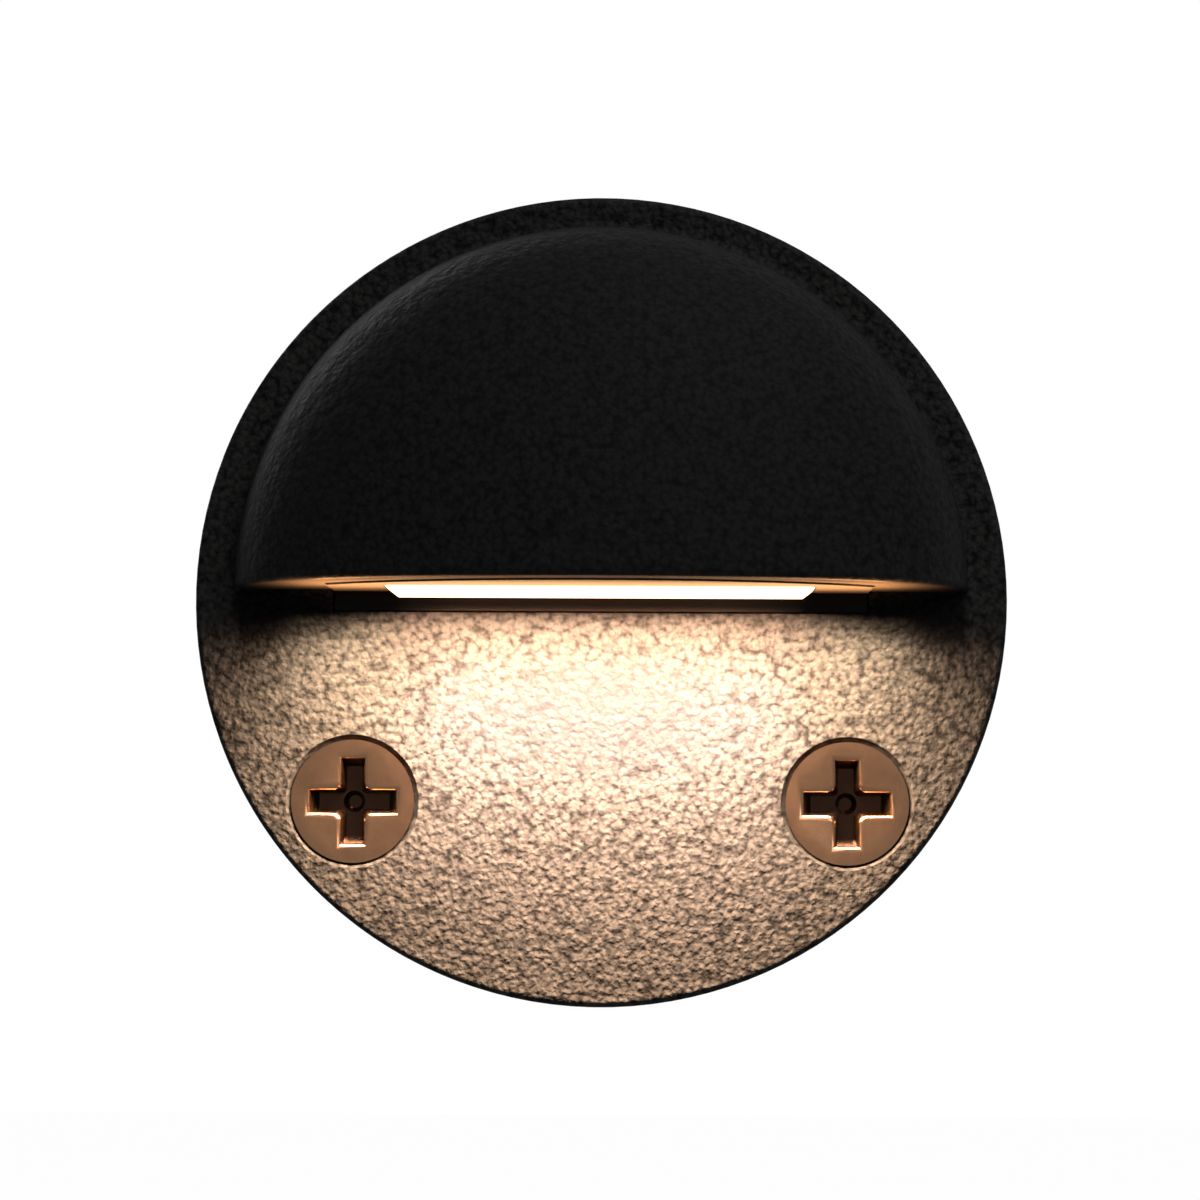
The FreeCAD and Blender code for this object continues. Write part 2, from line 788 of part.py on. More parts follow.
def carrier():
    """The aluminium plate over the light box, with ears for the casting and tabs for the driver board."""
    plate = block(
        Vector(-frame_half, ahead(cavity_depth), up(pad_top)),
        Vector(frame_half, ahead(ear_setback), up(carrier_top)),
    )
    room = dome(cavity_radius - carrier_wall_gap, cavity_depth - carrier_wall_gap, 0)
    plate = one_solid(plate.common(room))
    pieces = [plate]
    for side in (-1, 1):
        ear_x = side * ear_boss_x
        ear = block(
            Vector(ear_x - ear_width / 2, ahead(ear_setback + ear_thickness), up(pad_top)),
            Vector(ear_x + ear_width / 2, ahead(ear_setback), up(ear_screw_height + ear_top_margin)),
        )
        tab_low = side * tab_x - tab_width / 2
        tab_top = driver_screw_height + tab_width / 2
        tab = block(
            Vector(tab_low, ahead(tab_front), up(pad_top)),
            Vector(tab_low + tab_width, ahead(tab_front - tab_thickness), up(tab_top)),
        )
        pieces += [one_solid(ear.common(room)), tab]
    body = fused(pieces)
    body = body.cut(lead_slot(up(pad_top), up(carrier_top)))
    hole = small_screw_radius + small_screw_clearance
    for x, y in standoff_places():
        body = body.cut(Part.makeCylinder(hole, carrier_thickness, Vector(x, y, up(pad_top))))
    for x, z in ear_screw_places():
        body = body.cut(rod(hole, x, z, ahead(0), ahead(ear_setback + ear_thickness)))
    tight = small_screw_radius + small_screw_clearance / 2
    for x, z in driver_screw_places():
        body = body.cut(rod(tight, x, z, ahead(0), ahead(tab_front)))
    return one_solid(body)


def small_screw_along_y(x, z, seat_y, length):
    """A pan head machine screw that points forward, its head seated at seat_y on the wall's side."""
    head_y = seat_y + small_head_height
    shank = rod(small_screw_radius, x, z, seat_y, seat_y - length)
    head = rod(small_head_radius, x, z, seat_y, head_y)
    socket = rod(small_socket_radius, x, z, head_y - small_socket_depth, head_y)
    return one_solid(fused([shank, head]).cut(socket))


def carrier_screws():
    """The two screws that hold the carrier's ears to the casting."""
    seat = ahead(ear_setback)
    length = ear_thickness + ear_screw_length - small_screw_clearance
    return Part.makeCompound([small_screw_along_y(x, z, seat, length) for x, z in ear_screw_places()])


def standoff_screws():
    """The two screws that clamp the carrier, board and light box to the lens frame."""
    made = []
    for x, y in standoff_places():
        length = standoff_screw_length + carrier_thickness - small_screw_clearance
        foot = Vector(x, y, up(carrier_top) - length)
        shank = Part.makeCylinder(small_screw_radius, length, foot)
        head = Part.makeCylinder(small_head_radius, small_head_height, Vector(x, y, up(carrier_top)))
        socket_foot = Vector(x, y, up(carrier_top + small_head_height - small_socket_depth))
        socket = Part.makeCylinder(small_socket_radius, small_socket_depth, socket_foot)
        made.append(one_solid(fused([shank, head]).cut(socket)))
    return Part.makeCompound(made)


def driver_board():
    """The driver's board: a half moon that stands in the hood, with a notch round the top boss."""
    board = rod(driver_board_radius, 0, up(0), ahead(driver_front), ahead(tab_front))
    middle = block(
        Vector(-driver_half_width, ahead(driver_front), up(driver_base)),
        Vector(driver_half_width, ahead(tab_front), up(cavity_radius)),
    )
    board = board.common(middle)
    top_x, top_z = cover_screw_places()[-1]
    notch_radius = boss_radius + driver_board_notch
    board = board.cut(rod(notch_radius, top_x, top_z, ahead(driver_front), ahead(tab_front)))
    hole = small_screw_radius + small_screw_clearance
    for x, z in driver_screw_places():
        board = board.cut(rod(hole, x, z, ahead(driver_front), ahead(tab_front)))
    return one_solid(board)


def driver_screws():
    """The two screws that hold the driver board to the carrier's tabs."""
    made = []
    for x, z in driver_screw_places():
        seat = ahead(driver_front)
        head_y = seat - small_head_height
        length = driver_board_thickness + tab_thickness + driver_screw_tip
        shank = rod(small_screw_radius, x, z, seat, seat + length)
        head = rod(small_head_radius, x, z, seat, head_y)
        socket = rod(small_socket_radius, x, z, head_y, head_y + small_socket_depth)
        made.append(one_solid(fused([shank, head]).cut(socket)))
    return Part.makeCompound(made)


def component_box(shares):
    """The low and high corner of a component on the driver board, from its shares."""
    place_share, height_share, width_share, tall_share, depth_share = shares
    x = place_share * driver_bay
    z = driver_base + height_share * driver_board_height
    half_width = width_share * driver_bay / 2
    half_tall = tall_share * driver_board_height / 2
    far_corner = math.hypot(abs(x) + half_width, z + half_tall)
    room = depth_inside(cavity_radius, cavity_depth, far_corner) - driver_front
    low = Vector(x - half_width, ahead(driver_front + depth_share * room), up(z - half_tall))
    return low, Vector(x + half_width, ahead(driver_front), up(z + half_tall))


def on_driver_board(shares):
    """A block soldered to the front of the driver board."""
    return block(*component_box(shares))


def bridge_rectifier():
    """The rectifier, which lets the light run on alternating current."""
    return on_driver_board(rectifier_shares)


def driver_inductor():
    """The inductor: a square base with a round core let into its face."""
    low, high = component_box(inductor_shares)
    middle = low.add(high).multiply(0.5)
    groove_y = low.y + inductor_groove_share * (high.y - low.y)
    core_radius = inductor_core_share * min(high.x - low.x, high.z - low.z) / 2
    ring = rod(core_radius, middle.x, middle.z, low.y, groove_y)
    ring = ring.cut(rod(core_radius / 2, middle.x, middle.z, low.y, groove_y))
    return one_solid(block(low, high).cut(ring))


def driver_diode():
    """The freewheel diode."""
    return on_driver_board(diode_shares)


def driver_chip():
    """The constant-current chip."""
    return on_driver_board(driver_chip_shares)


def smoothing_capacitor():
    """The round smoothing capacitor on its square foot."""
    low, high = component_box(capacitor_shares)
    middle = low.add(high).multiply(0.5)
    foot_y = high.y - capacitor_foot_share * (high.y - low.y)
    can_radius = capacitor_can_share * min(high.x - low.x, high.z - low.z) / 2
    foot = block(Vector(low.x, foot_y, low.z), high)
    return one_solid(fused([foot, rod(can_radius, middle.x, middle.z, low.y, foot_y)]))


def chip_resistors():
    """The small resistors beside the driver board's screws, two at each end."""
    place_share, height_share, *size_shares = resistor_shares
    made = []
    for side in (-1, 1):
        for row in (0, 1):
            row_share = height_share + row * resistor_pitch_share
            made.append(on_driver_board((side * place_share, row_share, *size_shares)))
    return Part.makeCompound(made)


def lead_connector():
    """The socket on the driver board that the leads plug into."""
    return on_driver_board(connector_shares)


def led_lead(x):
    """One insulated lead: straight up from the light-emitting board into the foot of the connector."""
    foot = Vector(x, lead_y, up(board_top))
    return Part.makeCylinder(lead_radius, component_box(connector_shares)[0].z - foot.z, foot)


def back_cover():
    """The half-moon cover that closes the casting's back."""
    body = cover_pocket(cover_ledge - cover_clearance, -cover_inset, ledge_y)
    hole = small_screw_radius + small_screw_clearance
    head = small_head_radius + small_screw_clearance
    for x, z in cover_screw_places():
        sink = taper(hole, head, x, z, -cover_inset - small_flat_head_height, -cover_inset)
        body = body.cut([rod(hole, x, z, -cover_inset, ledge_y), sink])
    body = body.cut(rod(gland_neck_radius + gland_clearance, 0, up(gland_height), -cover_inset, ledge_y))
    return one_solid(body)


def cover_gasket():
    """The silicone cord that seals the back cover."""
    return one_solid(gasket_ring(0, ledge_y, ledge_y - cover_gasket_depth))


def cover_screws():
    """The three flat head screws in the back cover."""
    made = []
    for x, z in cover_screw_places():
        back = -cover_inset
        shank = rod(small_screw_radius, x, z, back, back - cover_screw_length)
        head = taper(small_screw_radius, small_head_radius, x, z, back - small_flat_head_height, back)
        socket = rod(small_socket_radius, x, z, back - small_socket_depth, back)
        made.append(one_solid(fused([shank, head]).cut(socket)))
    return Part.makeCompound(made)


def hexagon(half_flats, z, y_low, y_high):
    """A six-sided bar along Y at this height, two of its flats level, with its corners eased at both ends."""
    corner = half_flats / math.cos(math.pi / hex_sides)
    points = []
    for i in range(hex_sides + 1):
        turn = 2 * math.pi * i / hex_sides
        points.append(Vector(corner * math.cos(turn), y_low, z + corner * math.sin(turn)))
    bar = Part.Face(Part.makePolygon(points)).extrude(Vector(0, y_high - y_low, 0))
    eased = rod(corner, 0, z, y_low, y_high)
    rims = [edge for edge in eased.Edges if edge.BoundBox.YLength < corner / 2]
    return one_solid(bar.common(eased.makeChamfer((corner - half_flats) * hex_ease_share, rims)))


gland_z = up(gland_height)
gland_seat_y = -cover_inset + gland_washer_thickness
gland_tail_y = gland_seat_y + gland_flange_thickness
gland_end_y = gland_tail_y + gland_tail_length


def gland_washer():
    """The rubber washer between the gland's flange and the cover."""
    ring = rod(gland_neck_radius + gland_washer_width, 0, gland_z, -cover_inset, gland_seat_y)
    hole = rod(gland_neck_radius + gland_clearance, 0, gland_z, -cover_inset, gland_seat_y)
    return one_solid(ring.cut(hole))


def gland_body():
    """The gland's body: a neck through the cover, a six-sided flange and a tail that the cap screws on."""
    neck_end = ledge_y - gland_neck_length
    body = fused(
        [
            rod(gland_neck_radius, 0, gland_z, neck_end, gland_seat_y),
            hexagon(gland_neck_radius + gland_flange_wall, gland_z, gland_seat_y, gland_tail_y),
            rod(gland_neck_radius, 0, gland_z, gland_tail_y, gland_end_y),
        ]
    )
    bore = rod(gland_bore_radius, 0, gland_z, neck_end - overrun, gland_end_y + overrun)
    mouth = rod(gland_mouth_radius, 0, gland_z, gland_end_y - gland_mouth_depth, gland_end_y + overrun)
    return one_solid(body.cut([bore, mouth]))


def gland_locknut():
    """The flat nut that holds the gland from inside the cover."""
    nut_y = ledge_y - gland_locknut_thickness
    nut = hexagon(gland_locknut_half, gland_z, nut_y, ledge_y)
    hole = rod(gland_neck_radius + gland_clearance, 0, gland_z, nut_y - overrun, ledge_y + overrun)
    return one_solid(nut.cut(hole))


def gland_insert():
    """The rubber insert that grips the supply lead."""
    foot = gland_end_y - gland_mouth_depth
    insert = rod(gland_mouth_radius - gland_clearance / 2, 0, gland_z, foot, foot + gland_insert_length)
    return one_solid(insert.cut(rod(gland_insert_radius, 0, gland_z, foot, foot + gland_insert_length)))


def gland_cap():
    """The domed cap that squeezes the insert."""
    foot = gland_tail_y + gland_cap_gap
    shoulder = foot + gland_cap_length
    end = shoulder + gland_cap_dome
    dome_radius = gland_neck_radius + gland_cap_socket_wall
    mouth = gland_bore_radius + gland_cap_wall
    body = fused(
        [
            hexagon(dome_radius, gland_z, foot, shoulder),
            taper(dome_radius, mouth, 0, gland_z, shoulder, end),
        ]
    )
    body = body.cut(rod(gland_bore_radius, 0, gland_z, foot - overrun, end + overrun))
    socket_end = gland_end_y + gland_cap_gap + gland_insert_length - gland_mouth_depth
    socket = rod(gland_neck_radius + gland_clearance, 0, gland_z, foot - overrun, socket_end)
    return one_solid(body.cut(socket))


def parts():
    """Every sub-part by name."""
    screw_places = dict(zip(("left", "right"), mounting_screw_places()))
    lead_rows = dict(zip(("negative", "positive"), lead_places()))
    made = {
        "housing": housing(),
        "wall_gasket": wall_gasket(),
        "lens_frame": lens_frame(),
        "lens": lens(),
        "lens_gasket": lens_gasket(),
        "reflector": reflector(),
        "led_board": led_board(),
        "led_packages": led_packages(),
        "led_phosphors": led_phosphors(),
        "thermal_pad": thermal_pad(),
        "carrier": carrier(),
        "carrier_screws": carrier_screws(),
        "standoffs": standoffs(),
        "standoff_screws": standoff_screws(),
        "driver_board": driver_board(),
        "driver_screws": driver_screws(),
        "bridge_rectifier": bridge_rectifier(),
        "driver_inductor": driver_inductor(),
        "driver_diode": driver_diode(),
        "driver_chip": driver_chip(),
        "smoothing_capacitor": smoothing_capacitor(),
        "chip_resistors": chip_resistors(),
        "lead_connector": lead_connector(),
        "back_cover": back_cover(),
        "cover_gasket": cover_gasket(),
        "cover_screws": cover_screws(),
        "gland_washer": gland_washer(),
        "gland_body": gland_body(),
        "gland_locknut": gland_locknut(),
        "gland_insert": gland_insert(),
        "gland_cap": gland_cap(),
    }
    for side, (x, z) in screw_places.items():
        made[f"mounting_screw_{side}"] = mounting_screw(x, z)
    for pole, x in lead_rows.items():
        made[f"led_lead_{pole}"] = led_lead(x)
    return made


os.makedirs("parts", exist_ok=True)
for node, shape in parts().items():
    shape.exportStep(f"parts/{node}.step")
    print(node, len(shape.Solids), "solids", round(shape.Volume, 2), "mm3", "valid", shape.isValid())
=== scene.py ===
"""Looks of the deck light: textured black casting, bronze screws, frosted lens and its warm light."""

import math

import bmesh
import bpy
from mathutils import Matrix, Vector


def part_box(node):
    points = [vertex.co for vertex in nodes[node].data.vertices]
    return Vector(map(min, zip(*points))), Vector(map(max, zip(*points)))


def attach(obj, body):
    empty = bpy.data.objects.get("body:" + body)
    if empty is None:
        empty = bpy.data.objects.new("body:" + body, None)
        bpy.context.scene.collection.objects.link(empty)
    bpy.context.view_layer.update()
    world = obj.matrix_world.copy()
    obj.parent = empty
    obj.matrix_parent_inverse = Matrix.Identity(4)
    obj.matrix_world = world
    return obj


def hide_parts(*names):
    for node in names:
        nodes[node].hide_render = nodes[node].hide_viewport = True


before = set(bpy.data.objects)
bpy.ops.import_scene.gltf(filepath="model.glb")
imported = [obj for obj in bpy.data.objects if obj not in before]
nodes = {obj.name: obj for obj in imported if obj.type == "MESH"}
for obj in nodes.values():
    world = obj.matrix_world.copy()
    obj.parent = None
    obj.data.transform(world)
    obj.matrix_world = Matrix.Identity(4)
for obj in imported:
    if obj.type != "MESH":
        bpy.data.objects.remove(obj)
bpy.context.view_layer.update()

MM = 0.001

# Places on the light
DISC_FACE = -4.0 * MM
UNDERSIDE = 0.65 * MM
SCREW_X = 19.268 * MM
SCREW_Z = -15.866 * MM
SCREW_FACE = -3.9 * MM
SCREW_HOLE = 4.9 * MM

# Camera: fitted to the outlines in the photograph, whose frame is 1200 by 1200
FRAME_PIXELS = 1200
FOCAL_PIXELS = 3327.3
CAMERA_DISTANCE = 260 * MM
CAMERA_ELEVATION = -3.852
CAMERA_AZIMUTH = 0.72
CAMERA_ROLL = 0.312
CAMERA_AIM = Vector((-0.058, -4.0, -0.073)) * MM
SENSOR = 36.0


def make_camera():
    """The camera at the photograph's angle."""
    el = math.radians(CAMERA_ELEVATION)
    az = math.radians(CAMERA_AZIMUTH)
    roll = math.radians(CAMERA_ROLL)
    back = Vector((math.sin(az) * math.cos(el), -math.cos(az) * math.cos(el), math.sin(el)))
    right = Vector((0, 0, 1)).cross(back).normalized()
    upward = back.cross(right)
    right_rolled = right * math.cos(roll) + upward * math.sin(roll)
    up_rolled = upward * math.cos(roll) - right * math.sin(roll)
    data = bpy.data.cameras.new("camera")
    data.sensor_width = SENSOR
    data.lens = SENSOR * FOCAL_PIXELS / FRAME_PIXELS
    data.clip_start = 0.005
    data.clip_end = 20
    cam = bpy.data.objects.new("camera", data)
    turn = Matrix((right_rolled, up_rolled, back)).transposed().to_4x4()
    cam.matrix_world = Matrix.Translation(CAMERA_AIM + back * CAMERA_DISTANCE) @ turn
    bpy.context.collection.objects.link(cam)
    bpy.context.scene.camera = cam


make_camera()


# Node helpers

# The middle range of a noise, where nearly all its values lie
NOISE_LOW, NOISE_HIGH = 0.3, 0.7


def grey(level):
    """A neutral colour."""
    return (level, level, level)


class Tree:
    """A material's node tree with short ways to add and link nodes."""

    def __init__(self, name):
        self.material = bpy.data.materials.new(name)
        self.material.use_nodes = True
        self.tree = self.material.node_tree
        self.tree.nodes.clear()
        self.out = self.tree.nodes.new("ShaderNodeOutputMaterial")
        self.shader = self.tree.nodes.new("ShaderNodeBsdfPrincipled")
        self.tree.links.new(self.shader.outputs["BSDF"], self.out.inputs["Surface"])
        self.coords = self.tree.nodes.new("ShaderNodeTexCoord").outputs["Object"]

    def put(self, target, value):
        """Links a socket, or sets a constant."""
        if isinstance(value, bpy.types.NodeSocket):
            self.tree.links.new(value, target)
        else:
            target.default_value = value

    def set(self, **values):
        """Sets the shader's sockets, named with underscores for spaces."""
        for key, value in values.items():
            self.put(self.shader.inputs[key.replace("_", " ")], value)

    def math(self, operation, a, b=0.0):
        """A sum, product or comparison."""
        node = self.tree.nodes.new("ShaderNodeMath")
        node.operation = operation
        for socket, value in zip(node.inputs, (a, b)):
            self.put(socket, value)
        return node.outputs[0]

    def times(self, *values):
        """The product of several values."""
        product = values[0]
        for value in values[1:]:
            product = self.math("MULTIPLY", product, value)
        return product

    def plus(self, a, b):
        """The sum of two values."""
        return self.math("ADD", a, b)

    def minus(self, a, b):
        """The first value less the second."""
        return self.math("SUBTRACT", a, b)

    def below(self, value, limit):
        """1 under the limit and 0 over it."""
        return self.math("LESS_THAN", value, limit)

    def size(self, value):
        """The value without its sign."""
        return self.math("ABSOLUTE", value)

    def length(self, a, b):
        """The length of a vector of two values."""
        return self.math("SQRT", self.plus(self.times(a, a), self.times(b, b)))

    def stretch(self, vector, scale):
        """The coordinates scaled along each axis."""
        node = self.tree.nodes.new("ShaderNodeMapping")
        self.put(node.inputs["Vector"], vector)
        node.inputs["Scale"].default_value = scale
        return node.outputs[0]

    def noise(self, size, detail=2.0, vector=None):
        """Noise whose features are about this size in metres."""
        node = self.tree.nodes.new("ShaderNodeTexNoise")
        self.put(node.inputs["Vector"], vector or self.coords)
        node.inputs["Scale"].default_value = 1 / size
        node.inputs["Detail"].default_value = detail
        return node.outputs["Fac"]

    def cells(self, size, smooth):
        """Rounded cells of about this size in metres: 0 in the middle of each."""
        node = self.tree.nodes.new("ShaderNodeTexVoronoi")
        node.feature = "SMOOTH_F1"
        self.put(node.inputs["Vector"], self.coords)
        node.inputs["Scale"].default_value = 1 / size
        node.inputs["Smoothness"].default_value = smooth
        return node.outputs["Distance"]

    def ramp(self, value, *stops):
        """Colours along a value."""
        node = self.tree.nodes.new("ShaderNodeValToRGB")
        self.put(node.inputs["Fac"], value)
        elements = node.color_ramp.elements
        while len(elements) < len(stops):
            elements.new(0.5)
        for element, (place, colour) in zip(elements, stops):
            element.position = place
            element.color = (*colour, 1)
        return node.outputs["Color"]

    def between(self, value, low, high, to_low=0.0, to_high=1.0, smooth=False):
        """Maps a range onto another."""
        node = self.tree.nodes.new("ShaderNodeMapRange")
        node.interpolation_type = "SMOOTHSTEP" if smooth else "LINEAR"
        self.put(node.inputs["Value"], value)
        for key, number in (("From Min", low), ("From Max", high), ("To Min", to_low), ("To Max", to_high)):
            self.put(node.inputs[key], number)
        return node.outputs["Result"]

    def mottled(self, noise, dark, light):
        """Two tints mixed by a noise."""
        return self.ramp(noise, (NOISE_LOW, dark), (NOISE_HIGH, light))

    def uneven(self, noise, low, high):
        """A value between two limits that follows a noise."""
        return self.between(noise, NOISE_LOW, NOISE_HIGH, low, high)

    def mix(self, share, a, b):
        """Two colours mixed."""
        node = self.tree.nodes.new("ShaderNodeMix")
        node.data_type = "RGBA"
        self.put(node.inputs["Factor"], share)
        for socket, value in ((node.inputs["A"], a), (node.inputs["B"], b)):
            self.put(socket, (*value, 1) if isinstance(value, tuple) else value)
        return node.outputs["Result"]

    def axes(self):
        """X, Y and Z of the point, in metres."""
        node = self.tree.nodes.new("ShaderNodeSeparateXYZ")
        self.put(node.inputs[0], self.coords)
        return node.outputs

    def bump(self, height, distance):
        """A bump from a height of 0 to 1 that is this many metres tall."""
        node = self.tree.nodes.new("ShaderNodeBump")
        self.put(node.inputs["Height"], height)
        self.put(node.inputs["Distance"], distance)
        return node.outputs["Normal"]


# Materials

# Powder coat: sizes of its grain and heights of its relief
GRAIN = 0.34 * MM
CELL = 0.58 * MM
FINE = 0.15 * MM
SWELL = 1.3 * MM
DISC_RELIEF = 0.13 * MM
HOOD_RELIEF = 0.045 * MM
HOLE_EASE = 0.32 * MM
PIT_DEPTHS = (-0.22, 0.34)
# Tints from the grain's pits to its tops: painted shade in the pits and painted light on the tops
DISC_TINTS = (
    (0.0, (0.0018, 0.0017, 0.0016)),
    (0.45, (0.0052, 0.0051, 0.0050)),
    (1.0, (0.0095, 0.0091, 0.0087)),
)
# The hood's grain carries the same painted pit shade and top light, milder
HOOD_TINTS = ((0.0, grey(0.0020)), (1.0, grey(0.0052)))

# The patch of the disc that the lens lights most is painted darker, slightly cooler and flatter, with weaker
# pit shade, to hold back the lens's light there
PATCH_Z = -9.0 * MM
PATCH_HALF_WIDTH = 15.0 * MM
PATCH_HALF_HEIGHT = 6.5 * MM
LIT_PATCH_DIMMED_TINT = (0.0034, 0.0037, 0.0040)

# Painted shadow on the strips of the disc under the hood's ends, its edge drooping lower towards the ends
HOOD_SHADOW_DROOP = 1.6 * MM
HOOD_SHADOW_TINT = grey(0.0002)

# The hood's underside: painted shade at its brow, and a warm painted glow over the lens frame's width that
# fades to darker painted shade at its ends
BROW_SHADE_TINT = (0.0010, 0.0009, 0.0008)
UNDER_GLOW_TINTS = ((0.0, (0.014, 0.012, 0.010)), (1.0, (0.0045, 0.0040, 0.0035)))


def from_screw(t, x, z):
    """Distance from the nearer mounting screw's axis."""
    return t.length(t.minus(t.size(x), SCREW_X), t.minus(z, SCREW_Z))


def coat_relief(t, lumps, hood, under, hole):
    """The coat's bump: grain that is eased round the screw holes, with wide swells on the hood."""
    eased = t.between(hole, SCREW_HOLE, SCREW_HOLE + HOLE_EASE, smooth=True)
    relief = t.plus(t.times(eased, 1.5), t.times(lumps, t.between(eased, 0.0, 1.0, 0.25, 1.0)))
    swells = t.times(t.noise(SWELL), 4.5, hood)
    height = t.times(t.plus(relief, swells), t.minus(1.0, under))
    return t.bump(height, t.between(hood, 0.0, 1.0, DISC_RELIEF, HOOD_RELIEF))


def disc_tint(t, pit_shade, x, z):
    """The disc's near black, with painted shade in the grain's pits, painted dimming in the patch the lens
    lights most, and a painted shadow under the hood's ends.
    """
    tint = t.ramp(pit_shade, *DISC_TINTS)
    across = t.math("DIVIDE", x, PATCH_HALF_WIDTH)
    along = t.math("DIVIDE", t.minus(z, PATCH_Z), PATCH_HALF_HEIGHT)
    # Painted dimming where the lens's light is strongest
    lit = t.between(t.length(across, along), 1.0, 0.35, 0.0, 0.75)
    tint = t.mix(lit, tint, LIT_PATCH_DIMMED_TINT)
    aside = t.size(x)
    droop = t.times(t.between(aside, 18.0 * MM, 26.0 * MM), HOOD_SHADOW_DROOP)
    # Painted shadow on the disc under the hood's ends
    hood_end_shadow = t.times(
        t.between(t.plus(z, droop), -3.0 * MM, -1.4 * MM),
        t.below(z, UNDERSIDE),
        t.between(aside, 28.8 * MM, 28.2 * MM),
        t.between(aside, 18.0 * MM, 22.0 * MM),
    )
    return t.mix(t.times(hood_end_shadow, 0.8), tint, HOOD_SHADOW_TINT)


def powder_coat():
    """Textured black powder coat: coarse grain on the disc, finer on the hood, nearly smooth under it, with
    painted shade and painted light in its colour.
    """
    t = Tree("powder_coat")
    x, y, z = t.axes()
    hood = t.between(y, DISC_FACE - 0.2 * MM, DISC_FACE - 1.2 * MM, smooth=True)
    at_underside = t.below(t.size(t.minus(z, UNDERSIDE)), 0.08 * MM)
    under = t.times(at_underside, t.below(y, DISC_FACE - 0.6 * MM))
    fine = t.noise(FINE)
    grain = t.plus(t.times(fine, 0.10), t.times(t.noise(GRAIN, detail=1.2), 0.95))
    lumps = t.plus(t.times(t.cells(CELL, smooth=0.15), -0.8), grain)
    # From the grain's pits to its tops, which sets the painted pit shade and top light
    pit_shade = t.between(lumps, *PIT_DEPTHS)
    # Painted shade at the underside's brow, and a painted glow that fades towards the underside's ends
    brow_shade = t.between(y, -19.0 * MM, -15.0 * MM, smooth=True)
    ends = t.ramp(t.between(t.size(x), 21 * MM, 29 * MM), *UNDER_GLOW_TINTS)
    hood_tint = t.mix(under, t.ramp(pit_shade, *HOOD_TINTS), t.mix(brow_shade, BROW_SHADE_TINT, ends))
    t.set(
        Base_Color=t.mix(hood, disc_tint(t, pit_shade, x, z), hood_tint),
        Roughness=t.minus(t.uneven(fine, 0.52, 0.66), t.times(under, 0.22)),
        Specular_IOR_Level=0.012,
        Normal=coat_relief(t, lumps, hood, under, from_screw(t, x, z)),
    )
    return t.material


def satin_bronze():
    """Dark bronze plating: satin on the head, with painted shade darkening the recess, and fine turning
    marks.
    """
    t = Tree("satin_bronze")
    x, y, z = t.axes()
    inside = t.times(t.below(from_screw(t, x, z), 3.6 * MM), t.below(y, -0.9 * MM))
    # Painted shade that darkens the recess with depth below the head
    recess_shade = t.times(t.between(y, SCREW_FACE + 0.6 * MM, SCREW_FACE + 1.5 * MM), inside)
    marks = t.noise(0.12 * MM, detail=3.0, vector=t.stretch(t.coords, (1.0, 0.25, 1.0)))
    plating = t.mottled(t.noise(1.6 * MM, detail=3.0), (0.115, 0.066, 0.038), (0.140, 0.081, 0.047))
    t.set(
        Base_Color=t.mix(recess_shade, plating, (0.020, 0.010, 0.006)),
        Metallic=1.0,
        Roughness=t.uneven(marks, 0.17, 0.23),
        Normal=t.bump(marks, 0.0015 * MM),
    )
    return t.material


def smooth_black():
    """The lens frame's smooth black: duller on its plate and glossy on its apron, each with a warm painted
    glow in the middle that turns to painted shade towards its ends.
    """
    t = Tree("smooth_black")
    x, y, z = t.axes()
    aside = t.size(x)
    apron = t.math("GREATER_THAN", y, DISC_FACE - 0.5 * MM)
    ripple = t.noise(0.5 * MM)
    # The plate is painted lighter and warmer in the middle as painted glow, darker towards its ends as
    # painted shade
    plate_edge_shade = (0.012, 0.0105, 0.009)
    plate = t.mottled(ripple, plate_edge_shade, (0.016, 0.014, 0.012))
    plate = t.mix(t.between(aside, 13 * MM, 17 * MM, smooth=True), plate, plate_edge_shade)
    # Warm painted glow in the apron's middle and near-black painted shade at its ends
    apron_end_shade = t.between(aside, 9 * MM, 16.5 * MM, smooth=True)
    apron_glow_and_shade = t.mix(apron_end_shade, (0.0148, 0.0110, 0.0082), grey(0.0005))
    rough = t.uneven(t.noise(0.9 * MM), 0.55, 0.62)
    t.set(
        Base_Color=t.mix(apron, plate, apron_glow_and_shade),
        Roughness=t.minus(rough, t.times(apron, 0.42)),
        Specular_IOR_Level=0.03,
        Normal=t.bump(ripple, 0.004 * MM),
    )
    return t.material


def frosted_lens():
    """The frosted lens, lit from inside."""
    t = Tree("frosted_lens")
    frost = t.noise(0.15 * MM)
    t.set(
        Base_Color=t.mottled(frost, (0.86, 0.80, 0.70), (0.93, 0.88, 0.79)),
        Roughness=t.uneven(frost, 0.45, 0.6),
        Normal=t.bump(frost, 0.01 * MM),
        Emission_Color=t.mix(t.uneven(frost, 0.0, 1.0), (1.0, 0.56, 0.31), (1.0, 0.61, 0.36)),
        Emission_Strength=2.5,
    )
    return t.material


def moulded(name, dark, light, rough=(0.45, 0.6), size=0.5, depth=0.01, level=0.5):
    """A moulded, coated or plain finish: two close tints, uneven gloss and a fine grain, in millimetres."""
    t = Tree(name)
    spots = t.noise(size * MM, detail=3.0)
    t.set(
        Base_Color=t.mottled(spots, dark, light),
        Roughness=t.uneven(t.noise(size * 1.7 * MM), *rough),
        Specular_IOR_Level=level,
        Normal=t.bump(spots, depth * MM),
    )
    return t.material


